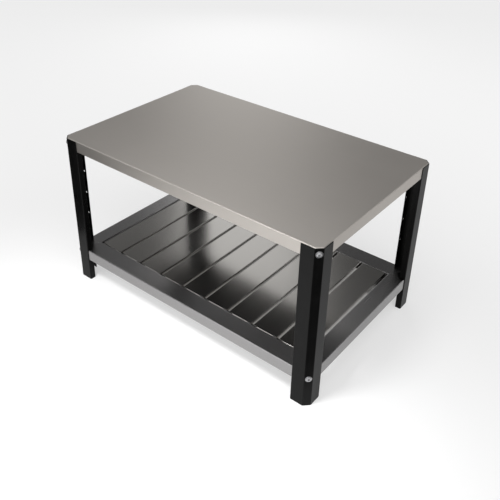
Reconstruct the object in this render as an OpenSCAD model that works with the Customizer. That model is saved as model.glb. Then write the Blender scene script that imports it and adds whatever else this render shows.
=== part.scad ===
// Grill stand: a stainless work top and a slatted stainless shelf, bolted into four folded corner legs.
// Every sheet piece is a strip that is folded from side to side, so one section module draws them all.
// Origin: the middle of the footprint, on the floor. X runs along the length, Y to the back, Z up.

/* [Stand] */
// Length of the stand over the outside of the legs, along X
stand_length = 1000; // [700:5:1400]
// Depth of the stand over the outside of the legs, along Y
stand_depth = 630; // [450:5:900]
// Height of the work top's surface above the floor
stand_height = 550; // [420:5:900]
// Clearance between the legs and the trays that sit inside them
tray_gap = 0.2; // [0:0.1:1]

/* [Legs] */
// Thickness of the painted sheet that a leg is folded from
leg_sheet = 2; // [1.5:0.5:3]
// Inside radius of a leg's folds
leg_fold = 1; // [0.5:0.25:1.5]
// Reach of a leg's flange along the side, from the corner of the stand
leg_reach = 62; // [50:1:85]
// Width of the slanted face that cuts the corner of a leg
corner_face = 25; // [24:0.5:34]
// Width of the lip folded inwards at the end of each flange
lip_width = 20; // [14:1:26]
// Space between a lip's cut end and the tray that passes it
lip_gap = 0.5; // [0:0.25:2]
// How far the legs stop below the surface of the work top
leg_drop = 2; // [0:0.5:5]
// Radius of the flange's outer corner at the top of a leg
leg_corner = 4; // [1:0.5:8]

/* [Lip holes] */
// Diameter of the screw holes in the lips
lip_hole = 6.6; // [4.5:0.1:9]
// Distance from one lip hole to the next one above it
lip_hole_pitch = 83; // [40:1:100]
// Number of holes in each lip
lip_hole_count = 3; // [1:1:4]

/* [Work top] */
// Thickness of the work top's sheet
top_sheet = 1.5; // [1:0.25:2.5]
// Inside radius of the work top's folds
top_fold = 1.5; // [0.5:0.25:2.5]
// Height of the work top's skirt, with the sheet
top_skirt = 40; // [34:1:60]
// Width of the return folded inwards along the bottom of the skirt
top_return = 15; // [8:1:25]

/* [Top stiffeners] */
// Thickness of the stiffeners' sheet
stiffener_sheet = 1.5; // [1:0.25:2.5]
// Inside radius of the stiffeners' folds
stiffener_fold = 1.5; // [0.5:0.25:2]
// Inside width of a stiffener's channel
stiffener_crown = 40; // [25:1:70]
// Height of a stiffener below the sheet of the top
stiffener_height = 20; // [12:1:28]
// Width of the flanges that are welded to the sheet of the top
stiffener_flange = 16; // [10:1:25]
// Distance from the middle stiffener to each outer one
stiffener_pitch = 250; // [130:5:280]
// Space between a stiffener's end and the skirt's return
stiffener_gap = 5; // [1:1:20]

/* [Shelf frame] */
// Height of the shelf's surface above the floor
shelf_height = 125; // [90:5:200]
// Thickness of the rails' sheet
rail_sheet = 1.5; // [1:0.25:2]
// Inside radius of the rails' folds
rail_fold = 1.5; // [0.5:0.25:2]
// Height of the shelf's skirt, with the sheet
shelf_skirt = 42; // [36:1:60]
// Width of the return folded inwards along the bottom of the shelf's skirt
rail_return = 12; // [8:1:20]
// Width of the front and back rails, seen from above
long_rail = 64; // [50:1:90]
// Width of the left and right rails, seen from above
short_rail = 58; // [50:1:90]
// Width of the ledge that the slats rest on
ledge_width = 20; // [12:1:30]

/* [Slats] */
// Gap between two slats, and between the outer slats and the rails
slat_gap = 8; // [5:0.5:12]
// Thickness of the slats' sheet
slat_sheet = 1.2; // [1:0.1:2]
// Inside radius of the slats' folds
slat_fold = 1.3; // [0.5:0.1:2]
// Height of a slat, from the ledge to the surface of the shelf
slat_depth = 18; // [14:1:24]
// Clearance between a slat's end tab and the rail
slat_play = 0.2; // [0.1:0.1:1]
// Distance from a slat's side to its end tab
tab_margin = 15; // [8:1:25]
// Space between the foot of an end tab and the ledge
tab_rise = 3; // [2.5:0.5:6]

/* [Corner brackets] */
// Thickness of the brackets' sheet
bracket_sheet = 2.5; // [2:0.5:3]
// Inside radius of the brackets' folds
bracket_fold = 1; // [0.5:0.25:1.5]
// Length of each bracket wing, along the skirt
bracket_wing = 35; // [20:1:40]
// Space above and below a bracket, up to the folds of its tray
bracket_play = 1; // [0:0.5:3]

/* [Bolts] */
// Thread diameter of the bolts
bolt_thread = 8; // [6:1:8]
// Length of a bolt under its head
bolt_length = 16; // [16:2:25]
// Diameter of the bolt holes
bolt_hole = 9; // [8.5:0.1:10]
// Diameter of the flange of a bolt's head
head_flange = 20; // [15:0.5:22]
// Thickness of the flange of a bolt's head
head_flange_t = 1.2; // [0.8:0.1:2]
// Diameter of the dome of a bolt's head, above the flange
head_dome = 15; // [12:0.5:18]
// Height of the dome of a bolt's head, above the flange
head_dome_h = 3.4; // [2.5:0.1:5]
// Width across the flats of the hexagon socket
socket_af = 5; // [4:0.5:6]
// Depth of the hexagon socket
socket_depth = 3; // [2:0.1:3.2]
// Width across the flats of a weld nut
nut_af = 13; // [12:0.5:14]
// Thickness of a weld nut
nut_height = 6.5; // [4:0.1:8]
// Clearance between a bolt's thread and its nut, on the radius
thread_gap = 0.1; // [0.05:0.05:0.3]

/* [Hidden] */
$fn = 64;

// Corners are counted from the front left one, anticlockwise seen from above
FRONT_LEFT = 0;
FRONT_RIGHT = 1;
BACK_RIGHT = 2;
BACK_LEFT = 3;
CORNERS = [FRONT_LEFT, FRONT_RIGHT, BACK_RIGHT, BACK_LEFT];
SLAT_COUNT = 9;
// Extra length of a cutting shape past the face that it cuts
over = 1;
// Largest turn between two facets of a fold, in degrees
FOLD_STEP = 15;

// What the corner face takes off each side of the corner: outside, and on an outline set in by inset
corner_cut = corner_face / sqrt(2);
function cut_at(inset) = corner_cut - (2 - sqrt(2)) * inset;

// The trays and the shelf's frame sit inside the legs' sheet
tray_inset = leg_sheet + tray_gap;
half_x = stand_length / 2 - tray_inset;
half_y = stand_depth / 2 - tray_inset;
tray_cut = cut_at(tray_inset);

// Heights of the edges and the bolts
leg_height = stand_height - leg_drop;
top_under = stand_height - top_skirt;
shelf_under = shelf_height - shelf_skirt;
top_bolt_z = stand_height - top_skirt / 2;
shelf_bolt_z = shelf_height - shelf_skirt / 2;
lip_hole_mid = (shelf_height + top_under) / 2;

// Window in the shelf's frame, and the slats that fill it
window_x = half_x - short_rail;
window_y = half_y - long_rail;
slat_width = (2 * window_x - (SLAT_COUNT + 1) * slat_gap) / SLAT_COUNT;
slat_reach = window_y - slat_play;
slat_bend = slat_sheet + slat_fold;
// The mitre meets the corner face at this share of the way to the window's corner
mitre_share = tray_cut / (long_rail + short_rail);

// Colours, as the pieces look in daylight
STEEL = [0.66, 0.64, 0.62];
SHADED_STEEL = [0.5, 0.49, 0.48];
BLACK_PAINT = [0.09, 0.09, 0.09];
ZINC = [0.78, 0.79, 0.8];

// Folded sheet

// Unit vector at an angle
function dir(angle) = [cos(angle), sin(angle)];

// Direction of side i of a folded strip
function heading(turns, i) = i == 0 ? 0 : heading(turns, i - 1) - turns[i - 1];

// Sharp corner of the drawn line where side i starts
function line_corner(sides, turns, i) =
    i == 0 ? [0, 0] : line_corner(sides, turns, i - 1) + sides[i - 1] * dir(heading(turns, i - 1));

// Points of fold i on one face of the strip: the left face follows the drawn line, the right face
// lies one sheet to the right of it
function fold_points(sides, turns, i, sheet, fold, on_right) =
    let (
        turn = turns[i],
        start = heading(turns, i),
        inwards = start - 90 * sign(turn),
        line_r = turn > 0 ? fold + sheet : fold,
        setback = line_r * tan(abs(turn) / 2),
        centre = line_corner(sides, turns, i + 1) - setback * dir(start) + line_r * dir(inwards),
        r = on_right ? 2 * fold + sheet - line_r : line_r,
        steps = ceil(abs(turn) / FOLD_STEP)
    )
    [for (s = [0 : steps]) centre - r * dir(inwards - turn * s / steps)];

// All points of one face of the strip, from its first cut end to its last
function face_points(sides, turns, sheet, fold, on_right) =
    let (
        last = len(turns),
        aside = on_right ? sheet : 0
    )
    concat(
        [aside * dir(-90)],
        [for (i = [0 : last - 1]) each fold_points(sides, turns, i, sheet, fold, on_right)],
        [line_corner(sides, turns, last + 1) + aside * dir(heading(turns, last) - 90)]
    );

function reversed(points) = [for (i = [len(points) - 1 : -1 : 0]) points[i]];

// Section of a folded strip. It starts at the origin, heads along +X and lies to the right of its line.
// A side runs from corner to corner of the line. A positive turn goes right, a negative turn goes left.
module folded_section(sides, turns, sheet, fold) {
    left = face_points(sides, turns, sheet, fold, false);
    right = face_points(sides, turns, sheet, fold, true);
    polygon(concat(left, reversed(right)));
}

// Places

// A corner of the stand: the origin is the corner of the footprint, the two sides run along +X and +Y
module at_corner(corner) {
    x = corner == FRONT_LEFT || corner == BACK_LEFT ? -1 : 1;
    y = corner == FRONT_LEFT || corner == FRONT_RIGHT ? -1 : 1;
    // Turning by quarter turns brings the symmetric corner pieces to every corner
    translate([x * stand_length / 2, y * stand_depth / 2, 0])
        rotate(90 * corner)
            children();
}

// The middle of a leg's corner face, with +Z pointing out of the stand
module on_corner_face(height) {
    translate([corner_cut / 2, corner_cut / 2, height])
        rotate([90, 0, -45])
            children();
}

module corner_bolt_hole(height) {
    depth = leg_sheet + tray_gap + top_sheet + bracket_sheet + 2 * over;
    on_corner_face(height)
        translate([0, 0, -depth])
            cylinder(h = depth + over, d = bolt_hole);
}

// Legs

module leg_section() {
    flange = leg_reach - corner_cut;
    translate([leg_reach, lip_width])
        rotate(-90)
            folded_section(
                [lip_width, flange, corner_face, flange, lip_width],
                [90, 45, 45, 90],
                leg_sheet, leg_fold
            );
}

// Takes both lips off between two heights, and leaves the flanges whole
module lip_notch(low, high) {
    depth = leg_sheet + leg_fold + over;
    for (side = [0, 1]) {
        mirror([side, -side, 0])
            translate([leg_reach - depth, leg_sheet, low])
                cube([depth + over, lip_width, high - low]);
    }
}

module lip_holes() {
    first = lip_hole_mid - (lip_hole_count - 1) * lip_hole_pitch / 2;
    for (side = [0, 1], i = [0 : lip_hole_count - 1]) {
        mirror([side, -side, 0])
            translate([leg_reach - leg_sheet - over, lip_width / 2, first + i * lip_hole_pitch])
                rotate([0, 90, 0])
                    cylinder(h = leg_sheet + 2 * over, d = lip_hole);
    }
}

// Rounds the outer corner of both flanges at the top of the leg
module flange_corners() {
    for (side = [0, 1]) {
        mirror([side, -side, 0])
            translate([leg_reach - leg_corner, -over, leg_height - leg_corner])
                difference() {
                    cube([leg_corner + over, leg_sheet + 2 * over, leg_corner + over]);
                    translate([0, -over, 0])
                        rotate([-90, 0, 0])
                            cylinder(h = leg_sheet + 4 * over, r = leg_corner);
                }
    }
}

module leg(corner) {
    color(BLACK_PAINT)
        at_corner(corner)
            difference() {
                linear_extrude(leg_height)
                    leg_section();
                lip_notch(shelf_under - lip_gap, shelf_height + lip_gap);
                lip_notch(top_under - lip_gap, leg_height + over);
                lip_holes();
                flange_corners();
                corner_bolt_hole(top_bolt_z);
                corner_bolt_hole(shelf_bolt_z);
            }
}

// Work top

// Rectangle with rounded corners, standing on the X axis
module rounded_bar_section(width, height, r) {
    x = width / 2 - r;
    centres = [[x, r], [x, height - r], [-x, height - r], [-x, r]];
    polygon([
        for (i = [0 : 3], turn = [0 : FOLD_STEP : 90]) centres[i] + r * dir((i - 1) * 90 + turn)
    ]);
}

// Block with the outline of the stand set in by inset, and with rounded upper and lower edges.
// Four bars cross: one for each pair of opposite sides and one for each pair of opposite corner faces.
module tray_block(inset, low, high, r) {
    across_x = stand_length - 2 * inset;
    across_y = stand_depth - 2 * inset;
    across_corners = (stand_length + stand_depth) / sqrt(2) - corner_face - 2 * inset;
    bars = [[0, across_x], [90, across_y], [45, across_corners], [-45, across_corners]];
    translate([0, 0, low])
        intersection_for (bar = bars) {
            rotate([90, 0, bar[0]])
                linear_extrude(stand_length + stand_depth, center = true)
                    rounded_bar_section(bar[1], high - low, r);
        }
}

// Outline of the stand set in by inset, seen from above
module stand_outline(inset) {
    x = stand_length / 2 - inset;
    y = stand_depth / 2 - inset;
    c = cut_at(inset);
    polygon([
        [c - x, -y], [x - c, -y], [x, c - y], [x, y - c],
        [x - c, y], [c - x, y], [-x, y - c], [-x, c - y]
    ]);
}

module top_panel() {
    outer_r = top_fold + top_sheet;
    color(STEEL)
        difference() {
            tray_block(tray_inset, top_under, stand_height, outer_r);
            tray_block(
                tray_inset + top_sheet, top_under + top_sheet, stand_height - top_sheet, top_fold
            );
            translate([0, 0, top_under - over])
                linear_extrude(top_skirt / 2)
                    stand_outline(tray_inset + top_return);
            for (corner = CORNERS) {
                at_corner(corner)
                    corner_bolt_hole(top_bolt_z);
            }
        }
}

// Hat section welded under the sheet of the top, from front to back
module top_stiffener(place) {
    length = 2 * (half_y - top_return - stiffener_gap);
    width = stiffener_crown + 2 * stiffener_flange + 2 * stiffener_sheet;
    color(SHADED_STEEL)
        translate([place * stiffener_pitch - width / 2, length / 2, stand_height - top_sheet])
            rotate([90, 0, 0])
                linear_extrude(length)
                    folded_section(
                        [
                            stiffener_flange + stiffener_sheet,
                            stiffener_height - stiffener_sheet,
                            stiffener_crown,
                            stiffener_height - stiffener_sheet,
                            stiffener_flange + stiffener_sheet
                        ],
                        [90, -90, -90, 90],
                        stiffener_sheet, stiffener_fold
                    );
}

// Corner brackets

// Plate folded round the inside of a corner. Its wings lie side_inset inside the stand's sides and its
// web lies face_inset inside the corner face.
module bracket(corner, side_inset, face_inset, low, high, bolt_z) {
    cut = corner_cut + sqrt(2) * face_inset - 2 * side_inset;
    color(SHADED_STEEL)
        at_corner(corner)
            difference() {
                translate([side_inset + cut + bracket_wing, side_inset, low])
                    linear_extrude(high - low)
                        rotate(180)
                            folded_section(
                                [bracket_wing, cut * sqrt(2), bracket_wing],
                                [45, 45],
                                bracket_sheet, bracket_fold
                            );
                corner_bolt_hole(bolt_z);
            }
}

module top_bracket(corner) {
    fold_line = top_sheet + top_fold + bracket_play;
    bracket(
        corner, tray_inset + top_sheet, tray_inset + top_sheet,
        top_under + fold_line, stand_height - fold_line, top_bolt_z
    );
}

// The shelf's rails leave the corner face open, so here the web lies directly behind the leg
module shelf_bracket(corner) {
    fold_line = rail_sheet + rail_fold + bracket_play;
    bracket(
        corner, tray_inset + rail_sheet, tray_inset,
        shelf_under + fold_line, shelf_height - fold_line, shelf_bolt_z
    );
}

// Shelf frame

// Section of a rail from its return, round the skirt and the surface, to the web beside the slats
module rail_section(width, ends, end_turns) {
    translate([rail_return, 0])
        rotate(180)
            folded_section(
                concat([rail_return, shelf_skirt, width], ends),
                concat([90, 90, 90], end_turns),
                rail_sheet, rail_fold
            );
}

// Seen from above, half of a mitred corner: from the corner face to the window
function mitre(sx, sy) = [
    [sx * (half_x - mitre_share * short_rail), sy * (half_y - mitre_share * long_rail)],
    [sx * window_x, sy * window_y]
];

// Front rail for side -1, back rail for side 1
module long_rail(side) {
    ledge_y = window_y - ledge_width - over;
    color(STEEL)
        intersection() {
            rotate(side > 0 ? 180 : 0)
                translate([-half_x, -half_y, shelf_under])
                    rotate([90, 0, 90])
                        linear_extrude(2 * half_x)
                            rail_section(long_rail, [slat_depth, ledge_width], [-90]);
            translate([0, 0, shelf_under - over])
                linear_extrude(shelf_skirt + 2 * over)
                    polygon([
                        [tray_cut - half_x, side * half_y],
                        mitre(-1, side)[0],
                        mitre(-1, side)[1],
                        [-window_x, side * ledge_y],
                        [window_x, side * ledge_y],
                        mitre(1, side)[1],
                        mitre(1, side)[0],
                        [half_x - tray_cut, side * half_y]
                    ]);
        }
}

// Left rail for side -1, right rail for side 1
module short_rail(side) {
    color(STEEL)
        intersection() {
            rotate(side > 0 ? 90 : -90)
                translate([-half_y, -half_x, shelf_under])
                    rotate([90, 0, 90])
                        linear_extrude(2 * half_y)
                            rail_section(short_rail, [slat_depth], []);
            translate([0, 0, shelf_under - over])
                linear_extrude(shelf_skirt + 2 * over)
                    polygon([
                        [side * half_x, tray_cut - half_y],
                        mitre(side, -1)[0],
                        mitre(side, -1)[1],
                        mitre(side, 1)[1],
                        mitre(side, 1)[0],
                        [side * half_x, half_y - tray_cut]
                    ]);
        }
}

// Slats

// Channel that stands on the two ledges, with a narrower tab folded down at each end
module slat(number) {
    x = -window_x + slat_gap * number + slat_width * (number - 1);
    color(STEEL)
        translate([x, 0, shelf_height]) {
            slat_channel();
            for (turned = [0, 1]) {
                translate([turned * slat_width, 0, 0])
                    rotate(180 * turned)
                        end_tab();
            }
        }
}

module slat_channel() {
    length = 2 * (slat_reach - slat_bend);
    translate([0, length / 2, 0])
        rotate([90, 0, 0])
            linear_extrude(length)
                translate([0, -slat_depth])
                    rotate(90)
                        folded_section(
                            [slat_depth, slat_width, slat_depth],
                            [90, 90],
                            slat_sheet, slat_fold
                        );
}

// The tab at the front end: it carries the surface on, bends down and stops above the ledge
module end_tab() {
    tab_width = slat_width - 2 * tab_margin;
    translate([tab_margin, -slat_reach, 0])
        rotate([90, 0, 90])
            linear_extrude(tab_width)
                translate([0, tab_rise - slat_depth])
                    rotate(90)
                        folded_section(
                            [slat_depth - tab_rise, slat_bend + over],
                            [90],
                            slat_sheet, slat_fold
                        );
}

// Bolts and nuts

module bolt() {
    dome_r = (pow(head_dome / 2, 2) + pow(head_dome_h, 2)) / (2 * head_dome_h);
    head_top = head_flange_t + head_dome_h;
    tip = bolt_thread / 8;
    difference() {
        rotate_extrude() {
            square([head_flange / 2, head_flange_t]);
            intersection() {
                translate([0, head_top - dome_r])
                    circle(dome_r);
                square([head_dome / 2, head_top]);
            }
            polygon([
                [0, 0],
                [0, -bolt_length],
                [bolt_thread / 2 - tip, -bolt_length],
                [bolt_thread / 2, tip - bolt_length],
                [bolt_thread / 2, 0]
            ]);
        }
        translate([0, 0, head_top - socket_depth])
            hexagon_bar(socket_af, socket_depth + over);
    }
}

// Hexagon with two of its flats upright when it lies on a corner face
module hexagon_bar(across_flats, height) {
    rotate(30)
        cylinder(h = height, d = across_flats / cos(30), $fn = 6);
}

module nut() {
    translate([0, 0, -nut_height])
        difference() {
            hexagon_bar(nut_af, nut_height);
            translate([0, 0, -over])
                cylinder(h = nut_height + 2 * over, r = bolt_thread / 2 + thread_gap);
        }
}

module corner_bolts(height) {
    color(ZINC)
        for (corner = CORNERS) {
            at_corner(corner)
                on_corner_face(height)
                    bolt();
        }
}

// The nuts are welded behind the brackets, whose webs lie face_inset inside the corner face
module corner_nuts(height, face_inset) {
    color(ZINC)
        for (corner = CORNERS) {
            at_corner(corner)
                on_corner_face(height)
                    translate([0, 0, -face_inset - bracket_sheet])
                        nut();
        }
}

top_panel();
top_stiffener(-1);  // top_stiffener_left
top_stiffener(0);  // top_stiffener_middle
top_stiffener(1);  // top_stiffener_right
top_bracket(FRONT_LEFT);  // top_bracket_front_left
top_bracket(FRONT_RIGHT);  // top_bracket_front_right
top_bracket(BACK_RIGHT);  // top_bracket_back_right
top_bracket(BACK_LEFT);  // top_bracket_back_left
leg(FRONT_LEFT);  // leg_front_left
leg(FRONT_RIGHT);  // leg_front_right
leg(BACK_RIGHT);  // leg_back_right
leg(BACK_LEFT);  // leg_back_left
long_rail(-1);  // shelf_rail_front
long_rail(1);  // shelf_rail_back
short_rail(-1);  // shelf_rail_left
short_rail(1);  // shelf_rail_right
shelf_bracket(FRONT_LEFT);  // shelf_bracket_front_left
shelf_bracket(FRONT_RIGHT);  // shelf_bracket_front_right
shelf_bracket(BACK_RIGHT);  // shelf_bracket_back_right
shelf_bracket(BACK_LEFT);  // shelf_bracket_back_left
slat(1);  // slat_1
slat(2);  // slat_2
slat(3);  // slat_3
slat(4);  // slat_4
slat(5);  // slat_5
slat(6);  // slat_6
slat(7);  // slat_7
slat(8);  // slat_8
slat(9);  // slat_9
corner_bolts(top_bolt_z);  // bolts_top
corner_bolts(shelf_bolt_z);  // bolts_shelf
corner_nuts(top_bolt_z, tray_inset + top_sheet);  // nuts_top
corner_nuts(shelf_bolt_z, tray_inset);  // nuts_shelf
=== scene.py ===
import math

import bmesh
import bpy
from mathutils import Matrix, Vector


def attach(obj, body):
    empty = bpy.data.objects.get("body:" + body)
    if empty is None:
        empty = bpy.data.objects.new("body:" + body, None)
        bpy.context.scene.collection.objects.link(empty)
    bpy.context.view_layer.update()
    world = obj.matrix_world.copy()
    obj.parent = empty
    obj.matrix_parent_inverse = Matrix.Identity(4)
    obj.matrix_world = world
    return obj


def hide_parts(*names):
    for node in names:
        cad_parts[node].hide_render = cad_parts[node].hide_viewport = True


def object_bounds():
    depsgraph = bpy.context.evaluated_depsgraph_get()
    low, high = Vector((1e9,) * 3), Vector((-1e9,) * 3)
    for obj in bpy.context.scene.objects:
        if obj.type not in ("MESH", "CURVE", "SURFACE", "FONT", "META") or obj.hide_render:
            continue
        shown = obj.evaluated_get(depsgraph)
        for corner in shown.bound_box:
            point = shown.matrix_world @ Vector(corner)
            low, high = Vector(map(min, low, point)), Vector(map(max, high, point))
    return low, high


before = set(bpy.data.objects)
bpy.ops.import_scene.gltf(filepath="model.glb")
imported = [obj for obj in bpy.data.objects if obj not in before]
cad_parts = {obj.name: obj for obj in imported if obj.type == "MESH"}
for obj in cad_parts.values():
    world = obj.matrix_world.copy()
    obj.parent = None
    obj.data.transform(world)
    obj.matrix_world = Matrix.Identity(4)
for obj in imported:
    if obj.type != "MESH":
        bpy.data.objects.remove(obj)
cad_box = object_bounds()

# Grill stand: a folded work top and a slatted shelf, bolted into four folded corner legs. The work
# top is built from rings of its section, and every other sheet piece is a swept strip with its true
# bends. Each is then cut where it needs to be, and its sheared edges are rounded. Sizes are in metres.

# Outside of the stand, from the frame
LENGTH, DEPTH, HEIGHT = (round(high - low, 4) for low, high in zip(*cad_box))

# Sizes of the pieces, as in the part's source
TRAY_GAP = 0.0002
LEG_SHEET, LEG_FOLD, LEG_REACH, LEG_DROP, LEG_ROUND = 0.002, 0.001, 0.062, 0.002, 0.004
CORNER_FACE, LIP_WIDTH, LIP_GAP = 0.025, 0.020, 0.0005
LIP_HOLE, LIP_HOLE_PITCH, LIP_HOLE_COUNT = 0.0066, 0.083, 3
TOP_SHEET, TOP_FOLD, TOP_SKIRT, TOP_RETURN = 0.0015, 0.0015, 0.040, 0.015
STIFFENER_SHEET, STIFFENER_FOLD, STIFFENER_CROWN = 0.0015, 0.0015, 0.040
STIFFENER_HEIGHT, STIFFENER_FLANGE, STIFFENER_PITCH, STIFFENER_GAP = 0.020, 0.016, 0.250, 0.005
SHELF_HEIGHT, RAIL_SHEET, RAIL_FOLD, SHELF_SKIRT = 0.125, 0.0015, 0.0015, 0.042
RAIL_RETURN, LONG_RAIL, SHORT_RAIL, LEDGE_WIDTH = 0.012, 0.064, 0.058, 0.020
SLAT_COUNT, SLAT_GAP, SLAT_SHEET, SLAT_FOLD = 9, 0.008, 0.0012, 0.0013
SLAT_DEPTH, SLAT_PLAY, TAB_MARGIN, TAB_RISE = 0.018, 0.0002, 0.015, 0.003
BRACKET_SHEET, BRACKET_FOLD, BRACKET_WING, BRACKET_PLAY = 0.0025, 0.001, 0.035, 0.001
BOLT_THREAD, BOLT_LENGTH, BOLT_HOLE = 0.008, 0.016, 0.009
HEAD_FLANGE, HEAD_FLANGE_T, HEAD_DOME, HEAD_DOME_H = 0.020, 0.0012, 0.015, 0.0034
SOCKET_AF, SOCKET_DEPTH, NUT_AF, NUT_HEIGHT, THREAD_GAP = 0.005, 0.003, 0.013, 0.0065, 0.0001

# Fine detail: the work top's upright edges outside, inside and at the return, the thread, the
# rounded rim of the bolt's flange and the step where its dome begins, the nut's chamfer, the welds
TOP_ROUND, TOP_ROUND_INSIDE, RETURN_ROUND = 0.003, 0.0015, 0.0008
THREAD_PITCH, THREAD_DEPTH = 0.00125, 0.0006
FLANGE_ROUND, DOME_FILLET = 0.0005, 0.0003
NUT_CHAMFER, NUT_CHAMFER_IN = 0.0016, 0.0002
SPOT_WIDTH, SPOT_RISE, SPOT_COUNT, SPOT_END = 0.006, 0.0002, 8, 0.025
BEAD_WIDTH, BEAD_RIPPLES, BEAD_STEP, BEAD_SHARES = 0.0032, 10, 0.0011, (0.3, 0.7)

# Rounding of the edges of bare sheet, painted legs, bolt heads and nuts
SHEARED, PAINTED_EDGE, HEAD_EDGE, NUT_EDGE = 0.00025, 0.0004, 0.00012, 0.0002
# Facets in a quarter turn of a fold, in one upright edge of the work top, and in a leg's top corner
FOLD_FACETS, EDGE_FACETS, LEG_ROUND_FACETS = 6, 3, 8
# How far a cutting tool, or a part that is welded on, reaches past the face that it meets
OVERLAP = 0.001
# Points nearer to each other than this are one point
SAME_PLACE = 0.00002
# Area from which a face is one of the sheet's flat sides, in square metres
FLAT_FROM = 0.001
QUARTER = math.pi / 2

# Places that follow from the sizes
CORNER_CUT = CORNER_FACE / math.sqrt(2)
TRAY_INSET = LEG_SHEET + TRAY_GAP
HALF_X, HALF_Y = LENGTH / 2 - TRAY_INSET, DEPTH / 2 - TRAY_INSET
LEG_HEIGHT = HEIGHT - LEG_DROP
TOP_UNDER, SHELF_UNDER = HEIGHT - TOP_SKIRT, SHELF_HEIGHT - SHELF_SKIRT
TOP_BOLT_Z, SHELF_BOLT_Z = HEIGHT - TOP_SKIRT / 2, SHELF_HEIGHT - SHELF_SKIRT / 2
LIP_HOLE_MID = (SHELF_HEIGHT + TOP_UNDER) / 2
WINDOW_X, WINDOW_Y = HALF_X - SHORT_RAIL, HALF_Y - LONG_RAIL
SLAT_WIDTH = (2 * WINDOW_X - (SLAT_COUNT + 1) * SLAT_GAP) / SLAT_COUNT
SLAT_REACH, SLAT_BEND = WINDOW_Y - SLAT_PLAY, SLAT_SHEET + SLAT_FOLD
CORNERS = ("front_left", "front_right", "back_right", "back_left")


def corner_cut_at(inset):
    """What the corner face takes off each side of an outline set in by inset."""
    return CORNER_CUT - (2 - math.sqrt(2)) * inset


# Nodes

def socket_named(sockets, name):
    """A socket by its identifier, or else by its name."""
    for socket in sockets:
        if socket.identifier == name:
            return socket
    return sockets[name]


def add_node(tree, kind, inputs=None, **settings):
    """A node with its settings, and with each named input set or linked."""
    made = tree.nodes.new(kind)
    for name, value in settings.items():
        setattr(made, name, value)
    for name, value in (inputs or {}).items():
        socket = made.inputs[name] if isinstance(name, int) else socket_named(made.inputs, name)
        if isinstance(value, bpy.types.NodeSocket):
            tree.links.new(value, socket)
        else:
            socket.default_value = value
    return made


def maths(tree, operation, a, b=0.0, c=0.0):
    """One sum. The third value is what MULTIPLY_ADD adds."""
    return add_node(tree, "ShaderNodeMath", {0: a, 1: b, 2: c}, operation=operation).outputs[0]


def blend(tree, factor, a, b):
    made = add_node(
        tree, "ShaderNodeMix", {"Factor_Float": factor, "A_Color": a, "B_Color": b}, data_type="RGBA"
    )
    return socket_named(made.outputs, "Result_Color")


def ramp(tree, factor, stops):
    """Colour ramp through stops of (position, colour)."""
    made = add_node(tree, "ShaderNodeValToRGB", {"Fac": factor})
    band = made.color_ramp
    while len(band.elements) < len(stops):
        band.elements.new(0.5)
    for element, (position, colour) in zip(band.elements, stops):
        element.position = position
        element.color = (*colour, 1)
    return made.outputs["Color"]


def bump(tree, height, strength, depth, **under):
    """Relief of that depth, in metres. Normal, where it is given, is the relief under it."""
    inputs = {"Strength": strength, "Distance": depth, "Height": height, **under}
    return add_node(tree, "ShaderNodeBump", inputs).outputs[0]


def group_tree(name, inputs):
    """Geometry Nodes tree with a geometry input and named sizes, and its two ends."""
    tree = bpy.data.node_groups.new(name, "GeometryNodeTree")
    tree.interface.new_socket("Geometry", in_out="INPUT", socket_type="NodeSocketGeometry")
    for label, kind in inputs:
        tree.interface.new_socket(label, in_out="INPUT", socket_type=kind)
    tree.interface.new_socket("Geometry", in_out="OUTPUT", socket_type="NodeSocketGeometry")
    return tree, tree.nodes.new("NodeGroupInput"), tree.nodes.new("NodeGroupOutput")


def finish_tree(tree, output, geometry, material):
    """Every tree ends in real meshes with their finish."""
    real = add_node(tree, "GeometryNodeRealizeInstances", {"Geometry": geometry}).outputs[0]
    named = add_node(tree, "GeometryNodeSetMaterial", {"Geometry": real, "Material": material})
    tree.links.new(named.outputs[0], output.inputs[0])


def run_tree(made, tree, values):
    """Runs the tree on the object with these sizes, and keeps the result as a plain mesh."""
    modifier = made.modifiers.new(tree.name, "NODES")
    modifier.node_group = tree
    for item in tree.interface.items_tree:
        if item.in_out == "INPUT" and item.name in values:
            modifier[item.identifier] = values[item.name]
    return settle(made)


# Finishes

def new_material(name):
    material = bpy.data.materials.new(name)
    material.use_nodes = True
    material.node_tree.nodes.clear()
    return material


def surface(material, shader):
    add_node(material.node_tree, "ShaderNodeOutputMaterial", {"Surface": shader})
    return material


def times(colour, by):
    return tuple(channel * by for channel in colour)


def streaks(tree, grain, along, across, detail):
    """Streaks of noise drawn out along the grain: along and across are the streaks in a metre."""
    drawn = add_node(tree, "ShaderNodeMapping", {"Vector": grain, "Scale": (along, across, 1)})
    return add_node(
        tree, "ShaderNodeTexNoise",
        {"Vector": drawn.outputs[0], "Scale": 1.0, "Detail": detail, "Roughness": 0.6},
    ).outputs["Fac"]


def cloud(tree, size, detail=3.0):
    """Soft patches about size metres wide."""
    place = add_node(tree, "ShaderNodeTexCoord").outputs["Object"]
    return add_node(
        tree, "ShaderNodeTexNoise",
        {"Vector": place, "Scale": 1 / size, "Detail": detail, "Roughness": 0.55},
    ).outputs["Fac"]


def uneven(tree, level, *swings):
    """The level, moved up and down round itself by each (pattern, swing)."""
    value = level - sum(swing for _, swing in swings) / 2
    for pattern, swing in swings:
        value = maths(tree, "MULTIPLY_ADD", pattern, swing, value)
    return value


def piece_grain(tree):
    """The grain map, shifted by the piece's tone so that no two slats have the same streaks."""
    flat = add_node(tree, "ShaderNodeUVMap", uv_map="grain").outputs["UV"]
    tone = add_node(tree, "ShaderNodeAttribute", attribute_name="tone").outputs["Fac"]
    shift = add_node(tree, "ShaderNodeCombineXYZ", {"X": tone, "Y": tone, "Z": tone}).outputs[0]
    return add_node(tree, "ShaderNodeVectorMath", {0: flat, 1: shift}, operation="ADD").outputs[0]


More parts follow.
